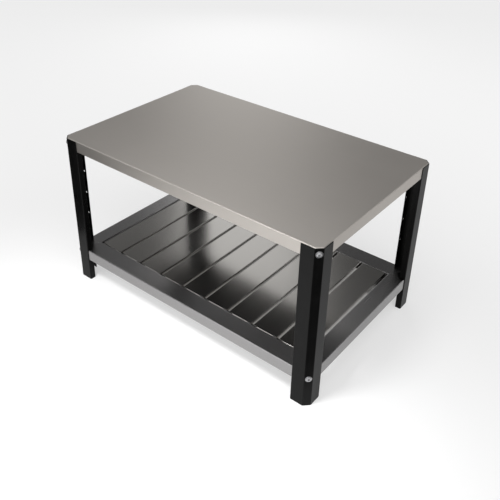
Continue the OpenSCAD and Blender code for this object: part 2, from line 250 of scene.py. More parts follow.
def brushed_steel(name, base, roughness, anisotropy, waviness):
    """Stainless sheet with a satin grain that runs along U of the piece's grain map.
    Waviness is the height, in metres, of the slow waves that rolled sheet has."""
    material = new_material(name)
    tree = material.node_tree
    grain = piece_grain(tree)
    fine = streaks(tree, grain, 14.0, 1500.0, 2.0)
    broad = streaks(tree, grain, 2.2, 260.0, 3.0)
    slow = streaks(tree, grain, 4.0, 7.0, 0.0)
    handled = cloud(tree, 0.14)
    streaked = maths(tree, "MULTIPLY_ADD", fine, 0.5, maths(tree, "MULTIPLY", broad, 0.5))
    lines = ramp(tree, streaked, [(0.32, times(base, 0.96)), (0.68, times(base, 1.03))])
    patches = ramp(tree, handled, [(0.3, times(base, 0.975)), (0.7, times(base, 1.02))])
    waves = bump(tree, slow, 1.0, waviness)
    shader = add_node(tree, "ShaderNodeBsdfPrincipled", {
        "Base Color": blend(tree, 0.45, lines, patches), "Metallic": 1.0,
        "Roughness": uneven(tree, roughness, (broad, 0.03), (handled, 0.04)),
        "Normal": bump(tree, fine, 0.05, 0.00002, Normal=waves),
        "Anisotropic": anisotropy, "Anisotropic Rotation": 0.25,
        "Tangent": add_node(tree, "ShaderNodeTangent", direction_type="UV_MAP", uv_map="grain").outputs[0],
    }).outputs[0]
    return surface(material, shader)


def powder_coat(name, base, roughness):
    """Black powder coat with a fine orange peel and a little dust in its dull patches."""
    material = new_material(name)
    tree = material.node_tree
    peel, patch = cloud(tree, 0.0022, 2.0), cloud(tree, 0.09, 4.0)
    shader = add_node(tree, "ShaderNodeBsdfPrincipled", {
        "Base Color": ramp(tree, patch, [(0.3, times(base, 0.8)), (0.72, times(base, 1.35))]),
        "Roughness": uneven(tree, roughness, (patch, 0.14)),
        "Normal": bump(tree, peel, 0.45, 0.00009), "IOR": 1.5, "Specular IOR Level": 0.09,
    }).outputs[0]
    return surface(material, shader)


def small_metal(name, dark, light, roughness, patch_size):
    """Metal of small parts: patches between two tones, and a grit too fine to see one by one."""
    material = new_material(name)
    tree = material.node_tree
    grit, patch = cloud(tree, 0.0008, 2.0), cloud(tree, patch_size, 3.0)
    shader = add_node(tree, "ShaderNodeBsdfPrincipled", {
        "Base Color": ramp(tree, patch, [(0.3, dark), (0.7, light)]), "Metallic": 1.0,
        "Roughness": uneven(tree, roughness, (patch, 0.12)),
        "Normal": bump(tree, grit, 0.3, 0.00003),
    }).outputs[0]
    return surface(material, shader)


TOP_STEEL = brushed_steel("work_top_steel", (0.49, 0.462, 0.432), 0.54, 0.3, 0.00005)
# The shelf and slat steel is the work top's stainless made darker: painted shade, for the shade under the
# work top
SHADED_SHELF_STEEL = brushed_steel("shelf_steel", (0.29, 0.285, 0.285), 0.26, 0.8, 0.00002)
SHADED_SLAT_STEEL = brushed_steel("slat_steel", (0.34, 0.33, 0.315), 0.20, 0.7, 0.00001)
# The inner steel's near-black base colour is painted shade, for the dark under the work top
SHADE_DARK_INNER_STEEL = brushed_steel("inner_steel", (0.05, 0.05, 0.05), 0.50, 0.3, 0.0001)
LEG_PAINT = powder_coat("leg_paint", (0.003, 0.003, 0.003), 0.30)
LEG_EDGE = powder_coat("leg_edge", (0.012, 0.012, 0.012), 0.26)
BOLT_ZINC = small_metal("bolt_zinc", (0.36, 0.36, 0.37), (0.46, 0.46, 0.47), 0.30, 0.006)
WELD_STEEL = small_metal("weld_steel", (0.16, 0.13, 0.11), (0.34, 0.33, 0.33), 0.40, 0.003)


# Meshes and objects

def finished_mesh(built, name):
    """The plain mesh of a bmesh, which is freed."""
    made = bpy.data.meshes.new(name)
    built.to_mesh(made)
    built.free()
    return made


def shade_smooth(mesh):
    mesh.polygons.foreach_set("use_smooth", [True] * len(mesh.polygons))
    return mesh


def new_object(name, mesh):
    made = bpy.data.objects.new(name, mesh)
    bpy.context.scene.collection.objects.link(made)
    return made


def finish_with(made, material):
    """Gives the whole object one finish."""
    made.data.materials.clear()
    made.data.materials.append(material)
    return made


def settle(made):
    """Turns the object's modifiers into its plain mesh."""
    graph = bpy.context.evaluated_depsgraph_get()
    graph.update()
    mesh = bpy.data.meshes.new_from_object(
        made.evaluated_get(graph), preserve_all_data_layers=True, depsgraph=graph
    )
    made.modifiers.clear()
    made.data = mesh
    return made


def join_meshes(meshes, matrices=None):
    """One mesh out of several, each moved by its matrix."""
    joined = bmesh.new()
    for i, mesh in enumerate(meshes):
        copy = mesh.copy()
        if matrices:
            copy.transform(matrices[i])
        joined.from_mesh(copy)
        bpy.data.meshes.remove(copy)
    return finished_mesh(joined, "joined")


def block(low, high):
    """Closed box between two corners."""
    built = bmesh.new()
    bmesh.ops.create_cube(built, size=1)
    bmesh.ops.scale(built, vec=Vector(high) - Vector(low), verts=built.verts)
    bmesh.ops.translate(built, vec=(Vector(low) + Vector(high)) / 2, verts=built.verts)
    return finished_mesh(built, "block")


def prism(radius, low, high, sides, turn=0.0):
    """Closed round or many-sided bar along Z."""
    built = bmesh.new()
    bottom, top = (
        [
            built.verts.new((radius * math.cos(angle), radius * math.sin(angle), z))
            for angle in (turn + 2 * math.pi * i / sides for i in range(sides))
        ]
        for z in (low, high)
    )
    built.faces.new(bottom[::-1])
    built.faces.new(top)
    for i in range(sides):
        j = (i + 1) % sides
        built.faces.new([bottom[i], bottom[j], top[j], top[i]])
    return finished_mesh(built, "prism")


def hexagon(across_flats, low, high):
    """Closed hexagon bar along Z."""
    half_side_angle = math.pi / 6
    return prism(across_flats / 2 / math.cos(half_side_angle), low, high, 6, half_side_angle)


def turned_mesh(profile, sides, relief=lambda height, turn: 0.0):
    """Solid of revolution round Z through (radius, height) points, closed at both ends on the axis.
    The relief at a height and a share of a turn is added to the radius."""
    built = bmesh.new()
    rings = []
    for r, z in profile:
        if r == 0:
            rings.append([built.verts.new((0, 0, z))] * sides)
            continue
        ring = []
        for i in range(sides):
            angle, out = 2 * math.pi * i / sides, r + relief(z, i / sides)
            ring.append(built.verts.new((out * math.cos(angle), out * math.sin(angle), z)))
        rings.append(ring)
    for a, b in zip(rings, rings[1:]):
        for i in range(sides):
            j = (i + 1) % sides
            built.faces.new(list(dict.fromkeys([a[i], a[j], b[j], b[i]])))
    bmesh.ops.recalc_face_normals(built, faces=built.faces)
    return finished_mesh(built, "turned")


def combine(made, tool_mesh, operation):
    """Cuts a tool out of the object, or welds it on."""
    tool = new_object("tool", tool_mesh)
    boolean = made.modifiers.new("tool", "BOOLEAN")
    boolean.operation = operation
    boolean.solver = "EXACT"
    boolean.object = tool
    settle(made)
    bpy.data.objects.remove(tool)
    return made


def round_edges(made, width=SHEARED, segments=2, edge_material=None):
    """Rounds the sheared edges."""
    bevel = made.modifiers.new("sheared edges", "BEVEL")
    bevel.width = width
    bevel.segments = segments
    bevel.limit_method = "ANGLE"
    bevel.angle_limit = math.radians(40)
    bevel.use_clamp_overlap = False
    bevel.miter_outer = "MITER_ARC"
    if edge_material:
        made.data.materials.append(edge_material)
        bevel.material = len(made.data.materials) - 1
    return settle(made)


def shade(made):
    """Shades the folds smoothly, and the flat sides of the sheet truly flat."""
    clean = bmesh.new()
    clean.from_mesh(made.data)
    bmesh.ops.remove_doubles(clean, verts=clean.verts, dist=SAME_PLACE)
    bmesh.ops.dissolve_degenerate(clean, edges=clean.edges, dist=SAME_PLACE)
    clean.to_mesh(made.data)
    clean.free()
    shade_smooth(made.data)
    weighted = made.modifiers.new("flat faces", "WEIGHTED_NORMAL")
    weighted.mode = "FACE_AREA"
    weighted.weight = 50
    mesh = settle(made).data
    flat = {}
    for face in sorted(mesh.polygons, key=lambda face: face.area):
        if face.area > FLAT_FROM:
            flat.update((vertex, face.normal) for vertex in face.vertices)
    mesh.normals_split_custom_set([
        flat.get(loop.vertex_index, corner.vector)
        for loop, corner in zip(mesh.loops, mesh.corner_normals)
    ])
    return made


def soften(made, width=SHEARED, segments=2, edge_material=None):
    return shade(round_edges(made, width, segments, edge_material))


def hand_over(made, slot, *nodes):
    """Makes the object a piece of the stand, in place of the named nodes if there are any."""
    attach(made, "root")
    if nodes:
        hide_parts(*nodes)
    return made


# Sheet metal

def direction(angle):
    return Vector((math.cos(angle), math.sin(angle)))


def strip_outline(sides, turns, sheet, fold):
    """Left and right face of a folded strip, from the origin along +X with the sheet on its right.
    Each point is (x, y, way along the strip). A positive turn goes right."""
    left, right = [(0.0, 0.0, 0.0)], [(0.0, -sheet, 0.0)]
    corner, heading, way, taken = Vector((0, 0)), 0.0, 0.0, 0.0
    for side, turn in zip(sides, turns):
        ahead = direction(heading)
        corner = corner + side * ahead
        inwards = heading - math.copysign(QUARTER, turn)
        left_r = fold + sheet if turn > 0 else fold
        right_r = 2 * fold + sheet - left_r
        setback = left_r * math.tan(abs(turn) / 2)
        centre = corner - setback * ahead + left_r * direction(inwards)
        way += side - setback - taken
        taken = setback
        facets = math.ceil(abs(turn) / QUARTER * FOLD_FACETS)
        round_way = (fold + sheet / 2) * abs(turn)
        for i in range(facets + 1):
            out = direction(inwards - turn * i / facets)
            at = way + round_way * i / facets
            left.append((*(centre - left_r * out), at))
            right.append((*(centre - right_r * out), at))
        way += round_way
        heading -= turn
    corner = corner + sides[-1] * direction(heading)
    way += sides[-1] - taken
    left.append((*corner, way))
    right.append((*(corner + sheet * direction(heading - QUARTER)), way))
    return left, right


def with_break(points, at):
    """The same line with a point added wherever it crosses x = at."""
    clear = 1e-7
    out = [points[0]]
    for a, b in zip(points, points[1:]):
        if min(a[0], b[0]) + clear < at < max(a[0], b[0]) - clear:
            share = (at - a[0]) / (b[0] - a[0])
            out.append(tuple(p + (q - p) * share for p, q in zip(a, b)))
        out.append(b)
    return out


def mapped_face(built, grain, corners, finish=0):
    """A face through corners of (vertex, its place on the grain map)."""
    made = built.faces.new([vertex for vertex, _ in corners])
    made.material_index = finish
    for loop, (_, spot) in zip(made.loops, corners):
        loop[grain].uv = spot


def sweep(outline, place, span):
    """Closed strip. place(x, y, t) is a point of the sweep in space, and span(x, y) gives both its ends.
    The grain map has U along the sweep and V along the strip."""
    left, right = outline
    built = bmesh.new()
    grain = built.loops.layers.uv.new("grain")
    ring = [
        [(built.verts.new(place(x, y, t)), (t, way)) for t in span(x, y)]
        for x, y, way in left + right[::-1]
    ]
    for a, b in zip(ring, ring[1:] + ring[:1]):
        mapped_face(built, grain, [a[0], b[0], b[1], a[1]])
    for i in range(len(left) - 1):
        for end in (0, 1):
            quad = (ring[i], ring[i + 1], ring[-2 - i], ring[-1 - i])
            mapped_face(built, grain, [line[end] for line in quad])
    bmesh.ops.recalc_face_normals(built, faces=built.faces)
    return finished_mesh(built, "strip")


def lay_grain(made, along):
    """Grain map of a straight strip: U along it, V across each face. Every flat face keeps one
    grain direction over its whole length."""
    grain = made.data.uv_layers["grain"].data
    for face in made.data.polygons:
        run = Vector(along)
        if abs(face.normal.dot(run)) > 0.9:
            run = face.normal.orthogonal().normalized()
        across = face.normal.cross(run)
        for loop in face.loop_indices:
            spot = made.data.vertices[made.data.loops[loop].vertex_index].co
            grain[loop].uv = (spot.dot(run), spot.dot(across))
    return made


# Corners

def corner_matrix(number):
    """From the frame of a corner piece, with its sides along +X and +Y, to that corner of the stand."""
    x = LENGTH / 2 if number in (1, 2) else -LENGTH / 2
    y = DEPTH / 2 if number in (2, 3) else -DEPTH / 2
    return Matrix.Translation((x, y, 0)) @ Matrix.Rotation(number * QUARTER, 4, "Z")


def face_matrix(height, depth=0.0):
    """From a fastener along +Z to the corner face, in the frame of a corner piece."""
    middle = CORNER_CUT / 2
    return (
        Matrix.Translation((middle, middle, height))
        @ Matrix.Rotation(-QUARTER / 2, 4, "Z")
        @ Matrix.Rotation(QUARTER, 4, "X")
        @ Matrix.Translation((0, 0, -depth))
    )


def bolt_hole_tool(height):
    """Bar that cuts the bolt's hole, from just outside the corner face to well behind the bracket."""
    behind = 0.012
    made = prism(BOLT_HOLE / 2, -behind, OVERLAP, 32)
    made.transform(face_matrix(height))
    return made


def make_corner_pieces(corner_piece, name, slot, node):
    """Puts a copy of the piece in each corner, and takes the piece itself away."""
    for number, corner in enumerate(CORNERS):
        mesh = corner_piece.data.copy()
        mesh.transform(corner_matrix(number))
        hand_over(new_object(f"{name}_{corner}", mesh), slot, f"{node}_{corner}")
    bpy.data.objects.remove(corner_piece)


# Legs

def leg_blank():
    """The folded leg before its lips are cut away at the trays."""
    flange = LEG_REACH - CORNER_CUT
    outline = strip_outline(
        [LIP_WIDTH, flange, CORNER_FACE, flange, LIP_WIDTH],
        [QUARTER, QUARTER / 2, QUARTER / 2, QUARTER], LEG_SHEET, LEG_FOLD,
    )
    return sweep(
        outline,
        lambda x, y, t: Vector((LEG_REACH + y, LIP_WIDTH - x, t)),
        lambda x, y: (0.0, LEG_HEIGHT),
    )


def mirrored(mesh):
    """The same mesh on the other flange of the leg."""
    made = mesh.copy()
    made.transform(Matrix(((0, 1, 0, 0), (1, 0, 0, 0), (0, 0, 1, 0), (0, 0, 0, 1))))
    made.flip_normals()
    return made


def lip_gap_tools():
    """What is cut off one lip: its stretches beside the two trays."""
    inner = LEG_REACH - (LEG_SHEET + LEG_FOLD + OVERLAP)
    gaps = (SHELF_UNDER - LIP_GAP, SHELF_HEIGHT + LIP_GAP), (TOP_UNDER - LIP_GAP, LEG_HEIGHT + OVERLAP)
    return [
        block((inner, LEG_SHEET, low), (LEG_REACH + OVERLAP, LIP_WIDTH + 2 * OVERLAP, high))
        for low, high in gaps
    ]


def flange_corner_tool():
    """What rounds the outer corner at the top of one flange."""
    x, z = LEG_REACH - LEG_ROUND, LEG_HEIGHT - LEG_ROUND
    past_x, past_z = LEG_REACH + OVERLAP, LEG_HEIGHT + OVERLAP
    outline = []
    for i in range(LEG_ROUND_FACETS, -1, -1):
        angle = QUARTER * i / LEG_ROUND_FACETS
        outline.append(Vector((x, 0, z)) + LEG_ROUND * Vector((math.cos(angle), 0, math.sin(angle))))
    outline += [Vector((past_x, 0, z)), Vector((past_x, 0, past_z)), Vector((x, 0, past_z))]
    built = bmesh.new()
    near, far = (
        [built.verts.new(point + Vector((0, y, 0))) for point in outline]
        for y in (-OVERLAP, LEG_SHEET + OVERLAP)
    )
    built.faces.new(near)
    built.faces.new(far[::-1])
    for i in range(len(outline)):
        j = (i + 1) % len(outline)
        built.faces.new([near[j], near[i], far[i], far[j]])
    bmesh.ops.recalc_face_normals(built, faces=built.faces)
    return finished_mesh(built, "flange_corner")


def perforation_tree():
    """Cuts a row of round holes out of both lips of a leg."""
    tree, given, output = group_tree("lip perforations", [
        ("Hole radius", "NodeSocketFloat"), ("Hole pitch", "NodeSocketFloat"),
        ("Hole count", "NodeSocketInt"), ("Lowest hole", "NodeSocketFloat"),
        ("Lip face", "NodeSocketFloat"), ("Lip middle", "NodeSocketFloat"),
        ("Punch depth", "NodeSocketFloat"),
    ])
    size = given.outputs
    punch = add_node(tree, "GeometryNodeMeshCylinder", {
        "Vertices": 32, "Radius": size["Hole radius"], "Depth": size["Punch depth"],
    }).outputs["Mesh"]
    step = add_node(tree, "ShaderNodeCombineXYZ", {"Z": size["Hole pitch"]}).outputs[0]
    punches = add_node(tree, "GeometryNodeJoinGeometry")
    rows = ("Lip face", "Lip middle", (0, QUARTER, 0)), ("Lip middle", "Lip face", (QUARTER, 0, 0))
    for x, y, turn in rows:
        start = add_node(
            tree, "ShaderNodeCombineXYZ", {"X": size[x], "Y": size[y], "Z": size["Lowest hole"]}
        ).outputs[0]
        row = add_node(tree, "GeometryNodeMeshLine", {
            "Count": size["Hole count"], "Start Location": start, "Offset": step,
        }).outputs[0]
        punched = add_node(tree, "GeometryNodeInstanceOnPoints", {
            "Points": row, "Instance": punch, "Rotation": turn,
        }).outputs[0]
        tree.links.new(punched, punches.inputs[0])
    real = add_node(tree, "GeometryNodeRealizeInstances", {"Geometry": punches.outputs[0]}).outputs[0]
    cut = add_node(
        tree, "GeometryNodeMeshBoolean", {"Mesh 1": size["Geometry"], "Mesh 2": real},
        operation="DIFFERENCE", solver="EXACT",
    ).outputs[0]
    finish_tree(tree, output, cut, LEG_PAINT)
    return tree


def make_legs():
    leg = new_object("leg", leg_blank())
    gaps = lip_gap_tools()
    combine(leg, join_meshes(gaps + [mirrored(gap) for gap in gaps]), "DIFFERENCE")
    corner, holes = flange_corner_tool(), [bolt_hole_tool(TOP_BOLT_Z), bolt_hole_tool(SHELF_BOLT_Z)]
    combine(leg, join_meshes([corner, mirrored(corner)] + holes), "DIFFERENCE")
    run_tree(leg, perforation_tree(), {
        "Hole radius": LIP_HOLE / 2, "Hole pitch": LIP_HOLE_PITCH, "Hole count": LIP_HOLE_COUNT,
        "Lowest hole": LIP_HOLE_MID - (LIP_HOLE_COUNT - 1) / 2 * LIP_HOLE_PITCH,
        "Lip face": LEG_REACH - LEG_SHEET / 2, "Lip middle": LIP_WIDTH / 2,
        "Punch depth": LEG_SHEET + 2 * OVERLAP,
    })
    soften(leg, PAINTED_EDGE, 3, LEG_EDGE)
    make_corner_pieces(leg, "painted_leg", "leg_paint", "leg")


# Work top

def tray_ring(inset, round_r):
    """Outline of the stand set in by inset, with rounded corners, as points on the floor."""
    x, y, cut = LENGTH / 2 - inset, DEPTH / 2 - inset, corner_cut_at(inset)
    corners = [Vector(p) for p in (
        (cut - x, -y), (x - cut, -y), (x, cut - y), (x, y - cut),
        (x - cut, y), (cut - x, y), (-x, y - cut), (-x, cut - y),
    )]
    setback = round_r * math.tan(QUARTER / 4)
    ring = []
    for i, corner in enumerate(corners):
        before = (corner - corners[i - 1]).normalized()
        start = corner - setback * before
        centre = start + round_r * Vector((-before.y, before.x))
        first = math.atan2(start.y - centre.y, start.x - centre.x)
        for k in range(EDGE_FACETS + 1):
            ring.append(centre + round_r * direction(first + QUARTER / 2 * k / EDGE_FACETS))
    return ring


def work_top_rows():
    """Section of the work top: outside from the surface to the return, then back inside. Each row
    is its inset, its height, the inset that it unrolls to and the radius of its corners."""
    outer = TOP_FOLD + TOP_SHEET
    rim, wall = TRAY_INSET, TRAY_INSET + TOP_SHEET
    edge = rim + outer
    foot = edge - outer * QUARTER - (TOP_SKIRT - 2 * outer)
    end = foot - outer * QUARTER - (TOP_RETURN - outer)
    bends = [
        (angle, 1 - math.sin(angle), 1 - math.cos(angle))
        for angle in (QUARTER * i / FOLD_FACETS for i in range(FOLD_FACETS + 1))
    ]
    outside = [
        (rim + outer * a, HEIGHT - outer * b, edge - outer * angle, TOP_ROUND - outer / 2 * a)
        for angle, a, b in bends
    ] + [
        (rim + outer * b, TOP_UNDER + outer * a, foot - outer * angle, TOP_ROUND - outer / 2 * b)
        for angle, a, b in bends
    ] + [(rim + TOP_RETURN, TOP_UNDER, end, RETURN_ROUND)]
    inside = [(rim + TOP_RETURN, TOP_UNDER + TOP_SHEET, end, RETURN_ROUND)] + [
        (wall + TOP_FOLD * a, TOP_UNDER + TOP_SHEET + TOP_FOLD * b,
         foot - outer * (QUARTER - angle), TOP_ROUND_INSIDE - TOP_FOLD / 3 * a)
        for angle, a, b in bends
    ] + [
        (wall + TOP_FOLD * b, HEIGHT - TOP_SHEET - TOP_FOLD * a,
         edge - outer * (QUARTER - angle), TOP_ROUND_INSIDE - TOP_FOLD / 3 * b)
        for angle, a, b in bends
    ]
    return outside, inside


def work_top_mesh():
    """Tray of folded sheet, with the first finish outside and the second, near black as painted shade,
    inside.
    """
    outside, inside = work_top_rows()
    built = bmesh.new()
    grain = built.loops.layers.uv.new("grain")
    rings = []
    for inset, z, unrolled, corner_r in outside + inside:
        verts = [built.verts.new((point.x, point.y, z)) for point in tray_ring(inset, corner_r)]
        rings.append(list(zip(verts, tray_ring(unrolled, corner_r))))
    for number, (ring, ring2) in enumerate(zip(rings, rings[1:])):
        finish = int(number >= len(outside))
        for i in range(len(ring)):
            j = (i + 1) % len(ring)
            mapped_face(built, grain, [ring[i], ring[j], ring2[j], ring2[i]], finish)
    mapped_face(built, grain, rings[0], 0)
    mapped_face(built, grain, rings[-1], 1)
    bmesh.ops.recalc_face_normals(built, faces=built.faces)
    return finished_mesh(built, "work_top")


def make_work_top():
    top = new_object("work_top", work_top_mesh())
    top.data.materials.append(TOP_STEEL)
    top.data.materials.append(SHADE_DARK_INNER_STEEL)
    holes = [bolt_hole_tool(TOP_BOLT_Z) for _ in CORNERS]
    combine(top, join_meshes(holes, [corner_matrix(i) for i in range(4)]), "DIFFERENCE")
    hand_over(soften(top), "work_top_steel", "top_panel")


def make_stiffeners():
    length = 2 * (HALF_Y - TOP_RETURN - STIFFENER_GAP)
    web = STIFFENER_HEIGHT - STIFFENER_SHEET
    foot = STIFFENER_FLANGE + STIFFENER_SHEET
    width = STIFFENER_CROWN + 2 * foot
    outline = strip_outline(
        [foot, web, STIFFENER_CROWN, web, foot], [QUARTER, -QUARTER, -QUARTER, QUARTER],
        STIFFENER_SHEET, STIFFENER_FOLD,
    )
    for number, name in ((-1, "left"), (0, "middle"), (1, "right")):
        start = number * STIFFENER_PITCH - width / 2
        made = new_object(f"stiffener_{name}", sweep(
            outline,
            lambda x, y, t: Vector((start + x, t, HEIGHT - TOP_SHEET + y)),
            lambda x, y: (-length / 2, length / 2),
        ))
        soften(finish_with(made, SHADE_DARK_INNER_STEEL))
        hand_over(made, "inner_steel", f"top_stiffener_{name}")
    weld_stiffeners(length)


def weld_stiffeners(length):
    """Rows of spot welds on the undersides of the stiffeners' feet."""
    from_middle = STIFFENER_CROWN / 2 + STIFFENER_SHEET + STIFFENER_FLANGE / 2
    reach, under = length / 2 - SPOT_END, HEIGHT - TOP_SHEET - STIFFENER_SHEET
    facing_down = Matrix.Rotation(math.pi, 4, "X")
    spots = []
    for number in (-1, 0, 1):
        for side in (-1, 1):
            for i in range(SPOT_COUNT):
                x, y = number * STIFFENER_PITCH + side * from_middle, reach * (2 * i / (SPOT_COUNT - 1) - 1)
                spots.append(Matrix.Translation((x, y, under)) @ facing_down)
    place_welds("top_spot_welds", spot_mark_mesh(), spots)


# Corner brackets

def bracket_mesh(side_inset, cut, low, high):
    """Bracket with its wings along both skirts, before its hole is cut."""
    outline = strip_outline(
        [BRACKET_WING, cut * math.sqrt(2), BRACKET_WING], [QUARTER / 2, QUARTER / 2],
        BRACKET_SHEET, BRACKET_FOLD,
    )
    return sweep(
        outline,
        lambda x, y, t: Vector((side_inset + cut + BRACKET_WING - x, side_inset - y, t)),
        lambda x, y: (low, high),
    )


def weld_brackets(tray, side_inset, cut, low, high):
    """Two short weld beads at the end of each wing."""
    tip = side_inset + cut + BRACKET_WING
    heights = [
        low + (high - low) * share + (i - (BEAD_RIPPLES - 1) / 2) * BEAD_STEP
        for share in BEAD_SHARES for i in range(BEAD_RIPPLES)
    ]
    place_welds(f"{tray}_bracket_welds", ripple_mesh(), [
        corner_matrix(number) @ Matrix.Translation((x, y, z))
        for number in range(4) for x, y in ((tip, side_inset), (side_inset, tip)) for z in heights
    ])


def make_brackets():
    """Brackets behind the corner faces. The work top's corner has a skirt in front of its bracket,
    and the shelf's has none."""
    for tray, sheet, fold, skirt, low, high, bolt_z in (
        ("top", TOP_SHEET, TOP_FOLD, TOP_SHEET, TOP_UNDER, HEIGHT, TOP_BOLT_Z),
        ("shelf", RAIL_SHEET, RAIL_FOLD, 0.0, SHELF_UNDER, SHELF_HEIGHT, SHELF_BOLT_Z),
    ):
        play = sheet + fold + BRACKET_PLAY
        side_inset = TRAY_INSET + sheet
        cut = CORNER_CUT + math.sqrt(2) * (TRAY_INSET + skirt) - 2 * side_inset
        bracket = new_object("bracket", bracket_mesh(side_inset, cut, low + play, high - play))
        combine(bracket, bolt_hole_tool(bolt_z), "DIFFERENCE")
        soften(finish_with(bracket, SHADE_DARK_INNER_STEEL))
        make_corner_pieces(bracket, f"{tray}_corner_bracket", "inner_steel", f"{tray}_bracket")
        weld_brackets(tray, side_inset, cut, low, high)


# Shelf

def mitre_end(away, own_width, other_width, half_own_length, window):
    """Where a rail ends, at a distance from its skirt: corner face, then mitre, then window."""
    cut = corner_cut_at(TRAY_INSET)
    share = cut / (own_width + other_width)
    kink = share * own_width
    if away <= kink:
        return half_own_length - cut + away
    if away >= own_width:
        return window
    start = half_own_length - share * other_width
    return start + (window - start) * (away - kink) / (own_width - kink)


def rail_outline(width, other_width, ends, end_turns):
    """Section of a rail: x away from the skirt's outside, y up from its lower edge."""
    faces = strip_outline(
        [RAIL_RETURN, SHELF_SKIRT, width, *ends], [QUARTER, QUARTER, QUARTER, *end_turns],
        RAIL_SHEET, RAIL_FOLD,
    )
    kink = corner_cut_at(TRAY_INSET) / (width + other_width) * width
    return [with_break([(RAIL_RETURN - x, -y, way) for x, y, way in face], kink) for face in faces]


def make_rails():
    long_outline = rail_outline(LONG_RAIL, SHORT_RAIL, [SLAT_DEPTH, LEDGE_WIDTH], [-QUARTER])
    short_outline = rail_outline(SHORT_RAIL, LONG_RAIL, [SLAT_DEPTH], [])

    def long_span(x, y):
        end = mitre_end(x, LONG_RAIL, SHORT_RAIL, HALF_X, WINDOW_X)
        return -end, end

    def short_span(x, y):
        end = mitre_end(x, SHORT_RAIL, LONG_RAIL, HALF_Y, WINDOW_Y)
        return -end, end

    places = {
        "front": lambda x, y, t: Vector((t, x - HALF_Y, SHELF_UNDER + y)),
        "back": lambda x, y, t: Vector((-t, HALF_Y - x, SHELF_UNDER + y)),
        "left": lambda x, y, t: Vector((x - HALF_X, -t, SHELF_UNDER + y)),
        "right": lambda x, y, t: Vector((HALF_X - x, t, SHELF_UNDER + y)),
    }
    for name, place in places.items():
        if name in ("front", "back"):
            mesh, along = sweep(long_outline, place, long_span), (1, 0, 0)
        else:
            mesh, along = sweep(short_outline, place, short_span), (0, 1, 0)
        made = finish_with(new_object(f"folded_rail_{name}", mesh), SHADED_SHELF_STEEL)
        hand_over(lay_grain(soften(made), along), "shelf_steel", f"shelf_rail_{name}")


def slat_tab_mesh(end):
    """Welding tab at one end of a slat, with end 1 at the back and -1 at the front."""
    outline = strip_outline([SLAT_DEPTH - TAB_RISE, SLAT_BEND + OVERLAP], [QUARTER], SLAT_SHEET, SLAT_FOLD)
    mesh = sweep(
        outline,
        lambda x, y, t: Vector((t, end * (SLAT_REACH + y), x + TAB_RISE - SLAT_DEPTH)),
        lambda x, y: (TAB_MARGIN, SLAT_WIDTH - TAB_MARGIN),
    )
    if end > 0:
        mesh.flip_normals()
    return mesh


def slat_blank():
    """One slat, with its left side at x = 0 and its surface at z = 0."""
    half = SLAT_REACH - SLAT_BEND
    channel = strip_outline(
        [SLAT_DEPTH, SLAT_WIDTH, SLAT_DEPTH], [QUARTER, QUARTER], SLAT_SHEET, SLAT_FOLD
    )
    slat = round_edges(new_object("slats", sweep(
        channel,
        lambda x, y, t: Vector((-y, t, x - SLAT_DEPTH)),
        lambda x, y: (-half, half),
    )))
    for end in (-1, 1):
        tab = round_edges(new_object("tab", slat_tab_mesh(end)))
        combine(slat, tab.data, "UNION")
        bpy.data.objects.remove(tab)
    return lay_grain(shade(finish_with(slat, SHADED_SLAT_STEEL)), (0, 1, 0))


def slat_row_tree():
    """Lays slats side by side, each with a tone of its own that shifts its grain."""
    tree, given, output = group_tree("slat row", [
        ("Slat count", "NodeSocketInt"), ("First slat", "NodeSocketVector"),
        ("Slat pitch", "NodeSocketVector"), ("Tone seed", "NodeSocketInt"),
    ])
    size = given.outputs
    row = add_node(tree, "GeometryNodeMeshLine", {
        "Count": size["Slat count"], "Start Location": size["First slat"], "Offset": size["Slat pitch"],
    }).outputs[0]
    laid = add_node(tree, "GeometryNodeInstanceOnPoints", {
        "Points": row, "Instance": size["Geometry"],
    }).outputs[0]
    tone = add_node(
        tree, "FunctionNodeRandomValue", {"Seed": size["Tone seed"]}, data_type="FLOAT"
    )
    toned = add_node(tree, "GeometryNodeStoreNamedAttribute", {
        "Geometry": laid, "Name": "tone", "Value": socket_named(tone.outputs, "Value_001"),
    }, data_type="FLOAT", domain="INSTANCE").outputs[0]
    finish_tree(tree, output, toned, SHADED_SLAT_STEEL)
    return tree


def make_slats():
    slats = run_tree(slat_blank(), slat_row_tree(), {
        "Slat count": SLAT_COUNT, "First slat": (SLAT_GAP - WINDOW_X, 0.0, SHELF_HEIGHT),
        "Slat pitch": (SLAT_WIDTH + SLAT_GAP, 0.0, 0.0), "Tone seed": 11,
    })
    hand_over(slats, "slat_steel", *[f"slat_{i + 1}" for i in range(SLAT_COUNT)])


# Bolts and nuts

def rolled_thread(height, turn):
    """How far the thread stands above its root, at a height and a share of a turn. It climbs one
    pitch in a turn, with flattened crests, and runs out at both ends."""
    wave = 0.5 - 0.5 * math.cos(2 * math.pi * (height / THREAD_PITCH - turn))
    start, end = -height / THREAD_PITCH - 0.5, (height + BOLT_LENGTH) / THREAD_PITCH - 0.3
    return THREAD_DEPTH * min(1.4 * wave, 1) * min(max(start, 0), max(end, 0), 1)


def shank_mesh():
    """Threaded shank with a flat end. It lies below z = 0 and reaches a little way into the head."""
    steps = round(BOLT_LENGTH / THREAD_PITCH * 10)
    heights = [OVERLAP - (BOLT_LENGTH + OVERLAP) * i / steps for i in range(steps + 1)]
    root = BOLT_THREAD / 2 - THREAD_DEPTH
    profile = [(0.0, OVERLAP)] + [(root, z) for z in heights] + [(root - THREAD_DEPTH, -BOLT_LENGTH)]
    return shade_smooth(turned_mesh(profile + [(0.0, -BOLT_LENGTH)], 32, rolled_thread))


